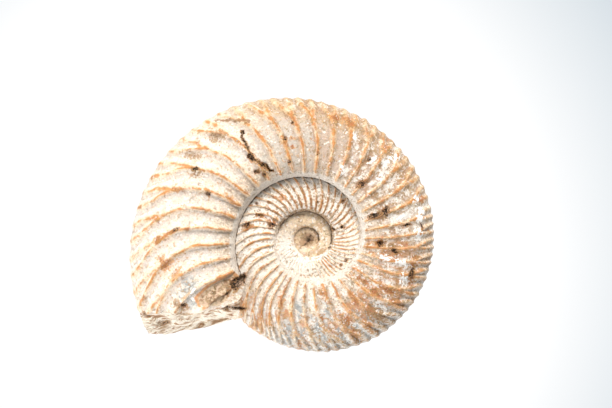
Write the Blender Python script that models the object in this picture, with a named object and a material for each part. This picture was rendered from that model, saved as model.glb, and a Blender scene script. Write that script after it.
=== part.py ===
"""Ribbed ammonite fossil lying on its flank, modelled as one solid in Blender (metres, +Z up).

The coil is one surface: a strip that winds inward from the broken mouth.  Across the strip, a section
starts at the umbilical seam, climbs the umbilical wall, crosses the flank and ends at the venter, the outer
rim.  The lower side mirrors it.  Each whorl stands on the flank of the whorl inside it, and there the two
share their vertices.

Angles called phi, in degrees, wind backwards from the mouth, 360 to a whorl.  s runs over a section from 0
at the umbilical seam to 1 at the venter.  side is +1 for the upper flank and -1 for the lower one.
"""

import bisect
import math

import bmesh
import bpy
from mathutils import Matrix, Vector

MM = 0.001

# Growth of the coil: the size at the mouth, and its logarithmic shrink over one whorl.
VENTER_RADIUS = 44.95 * MM
VENTER_SHRINK = 0.609
VENTER_SHIFT = 0.038
VENTER_SHIFT_AT = -27.5
VENTER_OVAL = 0.019
VENTER_OVAL_AT = 56.0
SEAM_RADIUS = 19.6 * MM
SEAM_SHRINK = 0.80
SEAM_SHIFT = 0.03
SEAM_SHIFT_AT = 142.0
HALF_THICKNESS = 12.5 * MM
THICKNESS_SHRINK = 0.51

# Shape of one section: how square its corners are, and where its highest point, the shoulder, lies.
SQUARENESS = 2.4
SHOULDER = 0.30
SHOULDER_REACH = 0.28

# The last whorl covers the one inside it from about this phi on.
COVERED_FROM = 358.0

# Ribs, counted backwards from the mouth where they cross the shoulder.  Each sweeps forward and forks in two.
# Widths and the spread of the fork are parts of the spacing.  Over RIM_SPAN, towards the rim, ribs sink to a
# part of their height, given at a few phi.  The sweep, in degrees, is given in the same way: over the whole
# flank, and for the inner whorls near the shoulder.
RIB_HEIGHT = 0.85 * MM
RIB_SHRINK = 0.55
RIBS_BY_PHI = (
    (-60.0, -7.0),
    (9.5, 0.0),
    (57.8, 5.0),
    (107.3, 10.0),
    (155.4, 15.0),
    (202.3, 20.0),
    (235.0, 24.0),
    (274.5, 28.0),
    (297.0, 30.0),
    (328.5, 33.0),
    (342.5, 35.0),
    (361.5, 37.0),
)
RIB_START = (0.10, 0.24)
RIB_FORK = (0.52, 0.76)
FORK_SPREAD = 0.25
RIB_FRONT = 0.13
RIB_BACK = 0.28
RIB_FADE = (640.0, 760.0)
RIM_SPAN = (0.78, 1.0)
RIM_RIBS_BY_PHI = ((-60.0, 0.15), (100.0, 0.2), (160.0, 0.45), (1300.0, 0.4))
SWEEP_BY_PHI = (
    (-60.0, 19.0),
    (30.0, 16.0),
    (60.0, 12.0),
    (110.0, 7.0),
    (150.0, 6.0),
    (200.0, 3.0),
    (230.0, 7.0),
    (260.0, 11.0),
    (350.0, 15.0),
    (420.0, 8.0),
    (1300.0, 8.0),
)
INNER_SWEEP_BY_PHI = ((-60.0, 0.0), (335.0, 0.0), (365.0, 11.0), (400.0, 11.0), (440.0, 6.0), (1300.0, 4.0))
SWEEP_SPAN = (0.28, 0.87)
INNER_SWEEP_SPAN = (0.20, 0.55)

# The broken mouth: (s, phi) of its edge on each side, and phi of its foot on the whorl inside it.  Its face
# is hollow in the middle, fully so where edge and foot are MOUTH_SPAN apart.  It opens at MOUTH_BEARING.
MOUTH = {
    1: ((0.2, -7.0), (0.3, -6.0), (0.4, -1.5), (0.5, 0.5), (0.6, 5.0), (0.7, 6.2), (0.9, 8.5), (1.0, 6.5)),
    -1: ((0.3, -15.3), (0.4, -9.3), (0.5, -5.8), (0.6, -3.3), (0.7, -1.3), (0.9, 2.0), (1.0, 6.5)),
}
MOUTH_FOOT = 343.0
MOUTH_HOLLOW = 1.2 * MM
MOUTH_SPAN = 15.0 * MM
MOUTH_BEARING = 212.0

# How it lies: the thin side of the coil dips towards the table, and the lowest ribs are worn flat.
LEAN = 3.5
LEAN_BEARING = 28.0
WEAR = 0.60 * MM

# Mesh: columns lie along the ribs and rows cross them.  The inner rows, given as parts of the stretch that
# shows, reach from a seam to the next whorl's seam.  A vertex within SNAP degrees of the mouth moves to it.
FIRST_RIB = -3.25
COLUMNS = 152
COLUMNS_PER_RIB = 4
COLUMNS_PER_INNER_RIB = 3
LAST_COLUMN = 352
SEAM_COLUMN = {1: 8, -1: 0}
INNER_ROWS = (0.0, 0.30, 0.60, 0.80, 1.0)
OUTER_ROWS = 6
MOUTH_RINGS = 3
CENTRE_DIMPLE = 0.5 * MM
SNAP = 1.2
SLOPE_STEP = 0.01
SEARCH_MARGIN = 20.0
SEARCH_HALVINGS = 40
WELD = 0.002 * MM
SHARP_ANGLE = 50.0

SHELL_COLOUR = (0.62, 0.47, 0.33, 1.0)
SHELL_ROUGHNESS = 0.8


def smooth(low, high, value):
    """0 up to low, 1 from high on, and a smooth ramp between."""
    x = min(1.0, max(0.0, (value - low) / (high - low)))
    return x * x * (3.0 - 2.0 * x)


def along(points, value):
    """Reads a line of (x, y) points at x = value; the end stretches carry on past their ends."""
    place = bisect.bisect_right([x for x, _ in points], value)
    place = min(max(place, 1), len(points) - 1)
    (x0, y0), (x1, y1) = points[place - 1], points[place]
    return y0 + (y1 - y0) * (value - x0) / (x1 - x0)


def wave(phi, peak):
    return math.cos(math.radians(phi - peak))


def venter_radius(phi):
    shift = VENTER_SHIFT * wave(phi, VENTER_SHIFT_AT)
    oval = VENTER_OVAL * wave(2.0 * phi, 2.0 * VENTER_OVAL_AT)
    return VENTER_RADIUS * math.exp(-VENTER_SHRINK * phi / 360.0) * (1.0 + shift + oval)


def seam_radius(phi):
    return SEAM_RADIUS * math.exp(-SEAM_SHRINK * phi / 360.0) * (1.0 + SEAM_SHIFT * wave(phi, SEAM_SHIFT_AT))


def half_thickness(phi):
    return HALF_THICKNESS * math.exp(-THICKNESS_SHRINK * phi / 360.0)


def shoulder_radius(phi):
    return seam_radius(phi) + SHOULDER_REACH * (venter_radius(phi) - seam_radius(phi))


def corner(turn):
    """A point on a quarter of a rounded square of size 1, turn going from (1, 0) at 0 to (0, 1) at 1."""
    angle = 0.5 * math.pi * min(1.0, max(0.0, turn))
    return math.cos(angle) ** (2.0 / SQUARENESS), math.sin(angle) ** (2.0 / SQUARENESS)


def cover(phi):
    """s on the whorl at phi where the next whorl's seam lies."""
    phi = max(phi, COVERED_FROM)
    shoulder = shoulder_radius(phi)
    out = (seam_radius(phi - 360.0) - shoulder) / (venter_radius(phi) - shoulder)
    turn = math.acos(out ** (SQUARENESS / 2.0)) / (0.5 * math.pi)
    return 1.0 - (1.0 - SHOULDER) * turn


def smooth_section(phi, s):
    """(radius, height) of a section without its ribs."""
    shoulder, thick = shoulder_radius(phi), half_thickness(phi)
    if s >= SHOULDER:
        out, up = corner((1.0 - s) / (1.0 - SHOULDER))
        return shoulder + (venter_radius(phi) - shoulder) * out, thick * up
    foot_radius, foot_height = smooth_section(phi + 360.0, cover(phi + 360.0))
    out, up = corner(s / SHOULDER)
    return shoulder - (shoulder - foot_radius) * out, foot_height + (thick - foot_height) * up


def sweep(phi, s):
    """How far forward, in degrees, a rib has swept at s."""
    outer = along(SWEEP_BY_PHI, phi) * smooth(*SWEEP_SPAN, s)
    return outer + along(INNER_SWEEP_BY_PHI, phi) * smooth(*INNER_SWEEP_SPAN, s)


def rib_count(column):
    outer = min(column, COLUMNS)
    return FIRST_RIB + outer / COLUMNS_PER_RIB + (column - outer) / COLUMNS_PER_INNER_RIB


def rib_height(count, phi, s):
    """Ribs have a steep front and a gentle back, and past the fork two branches each."""
    spread = FORK_SPREAD * smooth(*RIB_FORK, s)
    profile = 0.0
    for crest in (-spread, spread):
        off = (count - crest + 0.5) % 1.0 - 0.5
        width = RIB_FRONT if off < 0.0 else RIB_BACK
        profile = max(profile, math.exp(-((off / width) ** 2)))
    size = RIB_HEIGHT * math.exp(-RIB_SHRINK * phi / 360.0)
    sunk = (1.0 - along(RIM_RIBS_BY_PHI, phi)) * smooth(*RIM_SPAN, s)
    return size * profile * smooth(*RIB_START, s) * (1.0 - sunk) * (1.0 - smooth(*RIB_FADE, phi))


def swept_phi(count):
    """phi of a rib of the last whorl where it would cross the next whorl's seam."""
    phi = along([(rib, phi) for phi, rib in RIBS_BY_PHI], count)
    return phi + sweep(phi, SHOULDER) - sweep(phi, cover(phi))


def column_phi(column):
    """phi of a column where it crosses the next whorl's seam, or would cross it."""
    if column > COLUMNS:
        outside = column_phi(column - COLUMNS)
        return outside + 360.0 + sweep(outside, cover(outside))
    first, last, here = (swept_phi(rib_count(place)) for place in (0, COLUMNS, column))
    closing = first + 360.0 + sweep(first, cover(first)) - last
    return here + closing * column / COLUMNS


def free_phi(column, s):
    """phi of a column at s, before the mouth cuts it off."""
    phi = column_phi(column)
    return phi + sweep(phi, cover(phi)) - sweep(phi, s)


def column_at(phi, s):
    """The column, with its fraction, that passes through phi at s, found by halving."""
    low, high = -SEARCH_MARGIN, COLUMNS + SEARCH_MARGIN
    for _ in range(SEARCH_HALVINGS):
        middle = 0.5 * (low + high)
        low, high = (middle, high) if free_phi(middle, s) < phi else (low, middle)
    return low


def surface(column, phi, s, side):
    """A point of the ribbed surface, about the coil's own axis."""
    if s <= 0.0:
        return surface(column + COLUMNS, phi + 360.0, cover(phi + 360.0), side)
    radius, height = smooth_section(phi, s)
    before, after = smooth_section(phi, s - SLOPE_STEP), smooth_section(phi, min(1.0, s + SLOPE_STEP))
    slope = Vector((after[0] - before[0], after[1] - before[1])).normalized()
    lift = rib_height(rib_count(column), phi, s)
    radius -= lift * slope.y
    height += lift * slope.x
    bearing = math.radians(MOUTH_BEARING - phi)
    return Vector((radius * math.cos(bearing), radius * math.sin(bearing), side * height))


def row_s(row, phi):
    """s of a row: inner rows end at the next whorl's seam, outer rows share what is left up to the venter."""
    inner = len(INNER_ROWS) - 1
    edge = cover(phi)
    if row <= inner:
        return INNER_ROWS[row] * edge
    return edge + (1.0 - edge) * (row - inner) / OUTER_ROWS


def mouth_phi(s, side):
    start = (0.0, free_phi(SEAM_COLUMN[side], 0.0))
    return along((start, *MOUTH[side]), s)


def foot_phi(s, side):
    """phi of the mouth's foot, which runs over the venter of the whorl inside it."""
    start = free_phi(SEAM_COLUMN[side], 0.0) + 360.0
    edge = cover(start)
    return start + (MOUTH_FOOT - start) * (s - edge) / (1.0 - edge)


def shell_point(column, row, side, to_foot=False):
    """A vertex of the strip, held back where the mouth, or its foot, cuts the column off."""
    s = row_s(row, column_phi(column))
    phi = free_phi(column, s)
    if column < COLUMNS / 2 and phi < mouth_phi(s, side) + SNAP:
        phi = mouth_phi(s, side)
        column = column_at(phi, s)
    elif to_foot and phi > foot_phi(s, side) - SNAP:
        phi = foot_phi(s, side)
        column = column_at(phi, s)
    return surface(column, phi, s, side)


def across(step):
    """Row and side of a step across the whole section, upper seam to venter to lower seam."""
    rows = len(INNER_ROWS) - 1 + OUTER_ROWS
    return rows - abs(step - rows), 1 if step <= rows else -1


def mouth_point(step, ring):
    """A vertex of the broken face: rings run from its edge to its foot, hollowed between them."""
    row, side = across(step)
    edge = shell_point(0, row, side)
    foot = shell_point(COLUMNS + SEAM_COLUMN[1], max(row, len(INNER_ROWS) - 1), side, to_foot=True)
    part = ring / MOUTH_RINGS
    bearing = math.radians(MOUTH_BEARING)
    inward = Vector((math.sin(bearing), -math.cos(bearing), 0.0))
    depth = MOUTH_HOLLOW * 4.0 * part * (1.0 - part) * min(1.0, (edge - foot).length / MOUTH_SPAN)
    return edge.lerp(foot, part) + inward * depth


def add_grid(bm, columns, rows, place):
    """A grid of faces, each vertex moved to where place(column, row) puts it."""
    made = bmesh.ops.create_grid(bm, x_segments=columns, y_segments=rows, size=1.0)
    for vert in made["verts"]:
        column = round((vert.co.x + 1.0) * 0.5 * columns)
        row = round((vert.co.y + 1.0) * 0.5 * rows)
        vert.co = place(column, row)


def close_centre(bm):
    """Fills the two holes left at the centre of the coil, each with a shallow dimple."""
    rims = [edge for edge in bm.edges if edge.is_boundary]
    filled = bmesh.ops.holes_fill(bm, edges=rims, sides=0)["faces"]
    heights = {face: face.calc_center_median().z for face in filled}
    for face, height in heights.items():
        centre = bmesh.ops.poke(bm, faces=[face])["verts"][0]
        centre.co = (0.0, 0.0, height - math.copysign(CENTRE_DIMPLE, height))


def coil_mesh():
    """The whole coil about its own axis: both flanks, the last whorl's rim, the mouth and the centre."""
    bm = bmesh.new()
    inner = len(INNER_ROWS) - 1
    for side in (1, -1):
        add_grid(bm, LAST_COLUMN, inner, lambda column, row, side=side: shell_point(column, row, side))

    def rim_point(column, step):
        row, side = across(step + inner)
        return shell_point(column, row, side, to_foot=True)

    add_grid(bm, COLUMNS + SEAM_COLUMN[1], 2 * OUTER_ROWS, rim_point)
    add_grid(bm, 2 * (inner + OUTER_ROWS), MOUTH_RINGS, mouth_point)
    bmesh.ops.remove_doubles(bm, verts=bm.verts, dist=WELD)
    close_centre(bm)
    bmesh.ops.recalc_face_normals(bm, faces=bm.faces)
    return bm


def lay_down(bm):
    """Leans the coil, sets it on z = 0 with its lowest ribs worn flat, and centres it on x and y."""
    bearing = math.radians(LEAN_BEARING)
    hinge = Vector((-math.sin(bearing), math.cos(bearing), 0.0))
    bmesh.ops.transform(bm, matrix=Matrix.Rotation(math.radians(LEAN), 4, hinge), verts=bm.verts)
    low = Vector(min(vert.co[axis] for vert in bm.verts) for axis in range(3))
    high = Vector(max(vert.co[axis] for vert in bm.verts) for axis in range(3))
    centre = 0.5 * (low + high)
    bmesh.ops.translate(bm, vec=(-centre.x, -centre.y, -low.z - WEAR), verts=bm.verts)
    for vert in bm.verts:
        vert.co.z = max(0.0, vert.co.z)


def shell_material():
    material = bpy.data.materials.new("fossil_shell")
    material.use_nodes = True
    shader = material.node_tree.nodes["Principled BSDF"]
    shader.inputs["Base Color"].default_value = SHELL_COLOUR
    shader.inputs["Roughness"].default_value = SHELL_ROUGHNESS
    shader.inputs["Metallic"].default_value = 0.0
    return material


def main():
    for old in list(bpy.data.objects):
        bpy.data.objects.remove(old, do_unlink=True)
    bm = coil_mesh()
    lay_down(bm)
    mesh = bpy.data.meshes.new("ammonite")
    bm.to_mesh(mesh)
    bm.free()
    mesh.materials.append(shell_material())
    mesh.shade_smooth()
    mesh.set_sharp_from_angle(angle=math.radians(SHARP_ANGLE))
    bpy.context.scene.collection.objects.link(bpy.data.objects.new("ammonite", mesh))


main()
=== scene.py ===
# %% [markdown]
# # A ribbed ammonite fossil
# The real thing is the coiled shell of a sea animal, turned to stone: one whorl laid over the next, each
# one crossed by ribs that fork near the rim. This lesson grows that coil from a few formulas, weathers
# its surface as the ground did, and gives it the mixed cream, grey and rust finish of a limestone
# fossil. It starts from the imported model, which fixes the size and the place of everything.

# %% Load the frame
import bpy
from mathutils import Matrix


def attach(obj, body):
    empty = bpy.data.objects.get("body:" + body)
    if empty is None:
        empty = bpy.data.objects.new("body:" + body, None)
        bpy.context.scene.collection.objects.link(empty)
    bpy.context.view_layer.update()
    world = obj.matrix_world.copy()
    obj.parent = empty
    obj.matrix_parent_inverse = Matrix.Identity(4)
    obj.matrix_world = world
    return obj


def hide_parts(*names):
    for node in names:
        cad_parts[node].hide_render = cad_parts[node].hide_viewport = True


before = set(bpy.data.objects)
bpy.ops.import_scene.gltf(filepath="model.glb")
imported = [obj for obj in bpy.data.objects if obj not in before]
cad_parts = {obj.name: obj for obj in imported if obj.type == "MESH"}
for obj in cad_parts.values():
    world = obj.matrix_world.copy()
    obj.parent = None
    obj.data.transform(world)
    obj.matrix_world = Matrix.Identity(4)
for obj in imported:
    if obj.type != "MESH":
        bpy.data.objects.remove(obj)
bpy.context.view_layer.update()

# %% [markdown]
# ## Modules and units
# bmesh shapes the surface, numpy works out many thousand places at once, and Blender's noise makes the
# stone uneven. Blender counts in metres, so a length is written in millimetres and multiplied by MM.

# %% Modules and units
import math

import bmesh
import bpy
import numpy as np
from mathutils import Matrix, Vector, noise

MM = 0.001

# %% [markdown]
# ## Camera
# The fossil lies on its flank, so the camera looks straight down on it. A long lens keeps the near and
# the far parts of such a small thing at nearly the same scale, as a macro lens does. The coil's pole is
# the point that the whorls wind around, and everything else is placed from it.

# %% Camera
POLE = Vector((6.43, -3.81, 11.31)) * MM
VIEW_CENTRE = POLE + Vector((-0.5, 9.0, 0.0)) * MM
FRAME_WIDTH = 153.0 * MM
LENS_MM = 100.0

camera_data = bpy.data.cameras.new("camera")
camera_data.lens = LENS_MM
camera_distance = FRAME_WIDTH * LENS_MM / camera_data.sensor_width
camera = bpy.data.objects.new("camera", camera_data)
camera.location = VIEW_CENTRE + Vector((0.0, 0.0, camera_distance))
bpy.context.scene.collection.objects.link(camera)
bpy.context.scene.camera = camera
print("camera height over the pole, m:", round(camera_distance, 3))

# %% [markdown]
# ## Growth
# An ammonite grows by adding to its mouth, always in the same proportion, so its size along the coil is
# an exponential. Angles called phi wind backwards from the mouth, 360 degrees to a whorl. Three curves
# carry the whole form: the rim or venter, the umbilical seam, where a whorl sits on the one inside it,
# and the half thickness. Real coils are never quite round: two small waves make this one oval and push
# it to one side.

# %% Growth curves
VENTER_RADIUS = 44.95 * MM
VENTER_SHRINK = 0.609
VENTER_SHIFT = 0.038
VENTER_SHIFT_AT = -27.5
VENTER_OVAL = 0.019
VENTER_OVAL_AT = 56.0
SEAM_RADIUS = 19.6 * MM
SEAM_SHRINK = 0.80
SEAM_SHIFT = 0.03
SEAM_SHIFT_AT = 142.0
HALF_THICKNESS = 12.5 * MM
THICKNESS_SHRINK = 0.51
SHOULDER_REACH = 0.28


def ramp(low, high, value):
    """0 up to low, 1 from high on, and a smooth rise between."""
    x = np.clip((value - low) / (high - low), 0.0, 1.0)
    return x * x * (3.0 - 2.0 * x)


def wave(phi, peak):
    return np.cos(np.radians(phi - peak))


def venter_radius(phi):
    shift = VENTER_SHIFT * wave(phi, VENTER_SHIFT_AT)
    oval = VENTER_OVAL * wave(2.0 * phi, 2.0 * VENTER_OVAL_AT)
    return VENTER_RADIUS * np.exp(-VENTER_SHRINK * phi / 360.0) * (1.0 + shift + oval)


def seam_radius(phi):
    return SEAM_RADIUS * np.exp(-SEAM_SHRINK * phi / 360.0) * (1.0 + SEAM_SHIFT * wave(phi, SEAM_SHIFT_AT))


def half_thickness(phi):
    return HALF_THICKNESS * np.exp(-THICKNESS_SHRINK * phi / 360.0)


def shoulder_radius(phi):
    return seam_radius(phi) + SHOULDER_REACH * (venter_radius(phi) - seam_radius(phi))


for whorl in range(4):
    turn = 360.0 * whorl
    print("whorl", whorl + 1, "rim radius mm", round(float(venter_radius(turn)) / MM, 1))

# %% [markdown]
# ## One section
# Cut across, a whorl is a rounded box standing on the whorl inside it. The letter s runs over it: 0 at
# the seam, 0.3 at the shoulder and 1 at the rim. A superellipse gives the soft box corner with one
# number. A sketched profile would do too, but the formula lets every section follow the growth curves by
# itself.

# %% Section of a whorl
SQUARENESS = 2.4
SHOULDER = 0.30
COVERED_FROM = 358.0


def corner(turn):
    """A point on a quarter of a rounded square, turn going from (1, 0) at 0 to (0, 1) at 1."""
    angle = 0.5 * math.pi * np.clip(turn, 0.0, 1.0)
    return np.cos(angle) ** (2.0 / SQUARENESS), np.sin(angle) ** (2.0 / SQUARENESS)


def cover(phi):
    """s on the whorl at phi where the next whorl's seam lies."""
    phi = np.maximum(phi, COVERED_FROM)
    shoulder = shoulder_radius(phi)
    out = (seam_radius(phi - 360.0) - shoulder) / (venter_radius(phi) - shoulder)
    turn = np.arccos(np.clip(out, 0.0, 1.0) ** (SQUARENESS / 2.0)) / (0.5 * math.pi)
    return 1.0 - (1.0 - SHOULDER) * turn


def flank(phi, s):
    """(radius, height) between shoulder and rim."""
    out, up = corner((1.0 - s) / (1.0 - SHOULDER))
    shoulder = shoulder_radius(phi)
    return shoulder + (venter_radius(phi) - shoulder) * out, half_thickness(phi) * up


def section(phi, s):
    """(radius, height) anywhere on the section, without ribs."""
    foot_radius, foot_height = flank(phi + 360.0, cover(phi + 360.0))
    out, up = corner(s / SHOULDER)
    shoulder = shoulder_radius(phi)
    wall_radius = shoulder - (shoulder - foot_radius) * out
    wall_height = foot_height + (half_thickness(phi) - foot_height) * up
    flank_radius, flank_height = flank(phi, s)
    on_wall = s < SHOULDER
    return np.where(on_wall, wall_radius, flank_radius), np.where(on_wall, wall_height, flank_height)


print("the mouth covers the whorl inside it from s =", round(float(cover(360.0)), 2))

# %% [markdown]
# ## Ribs
# Ribs are folds that the animal built into its mouth edge again and again. Each starts at the shoulder,
# leans towards the mouth and forks before the rim. They are counted along the coil, with the count
# measured at a few angles, because their spacing drifts as the shell grows. A rib is steep towards the
# mouth and gentle behind, so the profile gets two widths. Two slow waves over the count and over s make
# no two ribs equally high.

# %% Ribs
RIBS_BY_PHI = (
    (-60.0, -7.0),
    (9.5, 0.0),
    (57.8, 5.0),
    (107.3, 10.0),
    (155.4, 15.0),
    (202.3, 20.0),
    (235.0, 24.0),
    (274.5, 28.0),
    (297.0, 30.0),
    (328.5, 33.0),
    (342.5, 35.0),
    (361.5, 37.0),
    (391.5, 40.0),
    (430.0, 45.0),
    (467.5, 50.0),
    (516.5, 56.0),
    (548.0, 60.0),
    (575.0, 64.0),
    (720.0, 88.0),
    (1200.0, 168.0),
)
RIB_HEIGHT = 0.95 * MM
RIB_SHRINK = 0.55
RIB_START = (0.09, 0.19)
RIB_FORK = (0.52, 0.76)
FORK_SPREAD = 0.25
RIB_FRONT = 0.10
RIB_BACK = 0.22
RIB_FADE = (690.0, 760.0)
RIM_SPAN = (0.78, 1.0)
INNER_RIBS = (360.0, 420.0)
INNER_RIB_LOSS = 0.25
UNEVEN = ((0.13, 2.3, 6.0), (0.10, 5.9, -11.0))
RIM_RIBS_BY_PHI = ((-60.0, 0.15), (100.0, 0.2), (160.0, 0.45), (1300.0, 0.4))
SWEEP_BY_PHI = (
    (-60.0, 19.0),
    (30.0, 16.0),
    (60.0, 12.0),
    (110.0, 7.0),
    (150.0, 6.0),
    (200.0, 3.0),
    (230.0, 7.0),
    (260.0, 11.0),
    (350.0, 15.0),
    (420.0, 8.0),
)
INNER_SWEEP_BY_PHI = ((335.0, 0.0), (365.0, 11.0), (400.0, 11.0), (440.0, 6.0), (1300.0, 4.0))
SWEEP_SPAN = (0.28, 0.87)
INNER_SWEEP_SPAN = (0.20, 0.55)


def read_table(table, value):
    """Reads a table of (x, y) points at x = value."""
    x, y = np.array(table).T
    return np.interp(value, x, y)


def rib_count(phi):
    """How many ribs lie between the mouth and phi, counted at the shoulder."""
    return read_table(RIBS_BY_PHI, phi)


def sweep(phi, s):
    """How far forward, in degrees, a rib has swept at s."""
    outer = read_table(SWEEP_BY_PHI, phi) * ramp(*SWEEP_SPAN, s)
    return outer + read_table(INNER_SWEEP_BY_PHI, phi) * ramp(*INNER_SWEEP_SPAN, s)


def rib_lift(count, phi, s):
    """Height of the ribs over the smooth section."""
    spread = FORK_SPREAD * ramp(*RIB_FORK, s)
    profile = np.zeros_like(s)
    for crest in (-spread, spread):
        off = (count - crest + 0.5) % 1.0 - 0.5
        width = np.where(off < 0.0, RIB_FRONT, RIB_BACK)
        profile = np.maximum(profile, np.exp(-((off / width) ** 2)))
    uneven = 1.0 + sum(share * np.sin(by_count * count + by_s * s) for share, by_count, by_s in UNEVEN)
    size = RIB_HEIGHT * uneven * np.exp(-RIB_SHRINK * phi / 360.0)
    size *= 1.0 - INNER_RIB_LOSS * ramp(*INNER_RIBS, phi)
    sunk = (1.0 - read_table(RIM_RIBS_BY_PHI, phi)) * ramp(*RIM_SPAN, s)
    return size * profile * ramp(*RIB_START, s) * (1.0 - sunk) * (1.0 - ramp(*RIB_FADE, phi))


def shell_points(count, phi, s, side):
    """Points of the ribbed shell about the pole, as an array of x, y, z."""
    radius, height = section(phi, s)
    step = 0.01
    before, after = section(phi, np.maximum(s - step, 0.0)), section(phi, np.minimum(s + step, 1.0))
    run, rise = after[0] - before[0], after[1] - before[1]
    length = np.hypot(run, rise)
    lift = rib_lift(count, phi, s)
    radius = radius - lift * rise / length
    height = height + lift * run / length
    bearing = np.radians(MOUTH_BEARING - phi)
    return np.stack((radius * np.cos(bearing), radius * np.sin(bearing), side * height), axis=-1)


MOUTH_BEARING = 212.0
print("ribs on the last whorl:", round(float(rib_count(360.0) - rib_count(0.0))))

# %% [markdown]
# ## Columns along the ribs
# The mesh is one long strip that winds inward from the mouth. Its columns lie along the ribs, so that a
# crest runs down a line of vertices and stays crisp. At the seam a column carries on over the whorl
# inside, which is how neighbouring whorls come to share their vertices.

# %% Columns
COLUMNS = 672
TURNS = 3.8
MOST_TURNS = 4
SEARCH = (-0.2, 1.2)
HALVINGS = 32
FIRST_PHI = -28.4
FIRST_SPAN = 360.0 + float(sweep(FIRST_PHI, cover(FIRST_PHI)))


def column_phi(column):
    """phi of a column where it crosses the next whorl's seam, or would cross it."""
    turn = np.clip(np.floor(column / COLUMNS), 0, MOST_TURNS)
    phi = FIRST_PHI + (column / COLUMNS - turn) * FIRST_SPAN
    for inner_turn in range(MOST_TURNS):
        phi = np.where(turn > inner_turn, phi + 360.0 + sweep(phi, cover(phi)), phi)
    return phi


def free_phi(column, s):
    """phi of a column at s, before the mouth cuts it off."""
    phi = column_phi(column)
    return phi + sweep(phi, cover(phi)) - sweep(phi, s)


def column_count(column):
    """The rib count of a column."""
    return rib_count(free_phi(column, SHOULDER))


def column_at(phi, s):
    """The column, with its fraction, that passes through phi at s, found by halving."""
    low, high = (np.full_like(phi, turns * COLUMNS) for turns in SEARCH)
    for _ in range(HALVINGS):
        middle = 0.5 * (low + high)
        short = free_phi(middle, s) < phi
        low, high = np.where(short, middle, low), np.where(short, high, middle)
    return low


last_column = round(COLUMNS * TURNS)
print("columns:", last_column, "ending at phi", round(float(column_phi(last_column))))

# %% [markdown]
# ## The broken mouth
# The living chamber broke off long ago, and the mud that had filled it turned to the same stone. What is
# left is a rough cream face. Its edge is given as phi at a few values of s, and its foot runs over the
# whorl inside.

# %% Mouth
SEAM_COLUMN = {1: round(0.0534 * COLUMNS), -1: 0}
MOUTH = {
    1: (
        (0.15, -5.5),
        (0.20, -8.0),
        (0.25, -6.8),
        (0.31, -5.0),
        (0.35, -2.6),
        (0.39, -0.8),
        (0.44, -0.2),
        (0.48, 0.8),
        (0.52, 2.8),
        (0.57, 5.2),
        (0.62, 5.8),
        (0.70, 6.4),
        (0.78, 7.6),
        (0.92, 8.8),
        (1.00, 6.5),
    ),
    -1: ((0.30, -15.3), (0.40, -9.3), (0.50, -5.8), (0.60, -3.3), (0.70, -1.3), (0.90, 2.0), (1.00, 6.5)),
}
MOUTH_FOOT = 343.0
MOUTH_HOLLOW = 1.2 * MM
MOUTH_SPAN = 15.0 * MM
MOUTH_SNAP = 0.3


def mouth_phi(s, side):
    seam = (0.0, float(free_phi(np.float64(SEAM_COLUMN[side]), 0.0)))
    knots = np.array((seam, *MOUTH[side]))
    return np.interp(s, knots[:, 0], knots[:, 1])


def foot_phi(s, side):
    start = float(free_phi(np.float64(SEAM_COLUMN[side]), 0.0)) + 360.0
    edge = cover(start)
    return start + (MOUTH_FOOT - start) * (s - edge) / (1.0 - edge)


for side in (1, -1):
    print("mouth at the seam, phi:", round(float(mouth_phi(0.0, side)), 1))

# %% [markdown]
# ## Rows across the whorl
# Rows run from the umbilical seam to the rim. The inner ones, up to where the next whorl would sit,
# repeat for every whorl. The outer ones show on the last whorl only. The underside gets fewer, since it
# is seen less.

# %% Rows and vertices
INNER_ROWS = {1: 26, -1: 12}
OUTER_ROWS = {1: 42, -1: 20}
ROW_POWER = 0.85


def row_s(row, phi, side):
    """s of a row, a number that counts from 0 at the seam."""
    edge = cover(phi)
    inner, outer = INNER_ROWS[side], OUTER_ROWS[side]
    inside = edge * np.clip(row / inner, 0.0, 1.0) ** ROW_POWER
    return np.where(row <= inner, inside, edge + (1.0 - edge) * (row - inner) / outer)


def strip_points(column, row, side, to_foot=False):
    """(points, coil) for arrays of columns and rows. coil is the rib count, s and seam mark of each."""
    column, row = np.broadcast_arrays(np.asarray(column, float), np.asarray(row, float))
    s = row_s(row, column_phi(column), side)
    phi = free_phi(column, s)
    ends = [((column < 0.5 * COLUMNS) & (phi < mouth_phi(s, side) + MOUTH_SNAP), mouth_phi)]
    if to_foot:
        ends.append((phi > foot_phi(s, side) - MOUTH_SNAP, foot_phi))
    for cut, limit in ends:
        phi = np.where(cut, limit(s, side), phi)
        column = np.where(cut, column_at(phi, s), column)
    at_seam = s <= 0.0
    covered = (row == INNER_ROWS[side]) & (column > COLUMNS + SEAM_COLUMN[side])
    coil = np.stack((column_count(column), s, at_seam | covered), axis=-1)
    column = np.where(at_seam, column + COLUMNS, column)
    phi = np.where(at_seam, phi + 360.0, phi)
    s = np.where(at_seam, cover(phi), s)
    return shell_points(column_count(column), phi, s, side), coil


probe, _ = strip_points([0, COLUMNS], [INNER_ROWS[1] + OUTER_ROWS[1]] * 2, 1)
print("rim points at the start and after one turn, mm:", np.round(probe / MM, 1).tolist())

# %% [markdown]
# ## Grids
# Seven grids make the whole skin: an inner band on each flank, the upper one in three lengths, the outer
# part of the last whorl on each flank, and the broken mouth. Each vertex of a plain grid is moved to its
# place. The innermost whorls are small, so they take every second column, and the underside takes every
# second or fourth. Where a finer band meets a coarser one, the vertices between sit on their neighbours,
# so the seam closes when the doubles are merged.

# %% Grids
MOUTH_RINGS = 20
COARSEST = 4
WELD = 0.004 * MM


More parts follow.
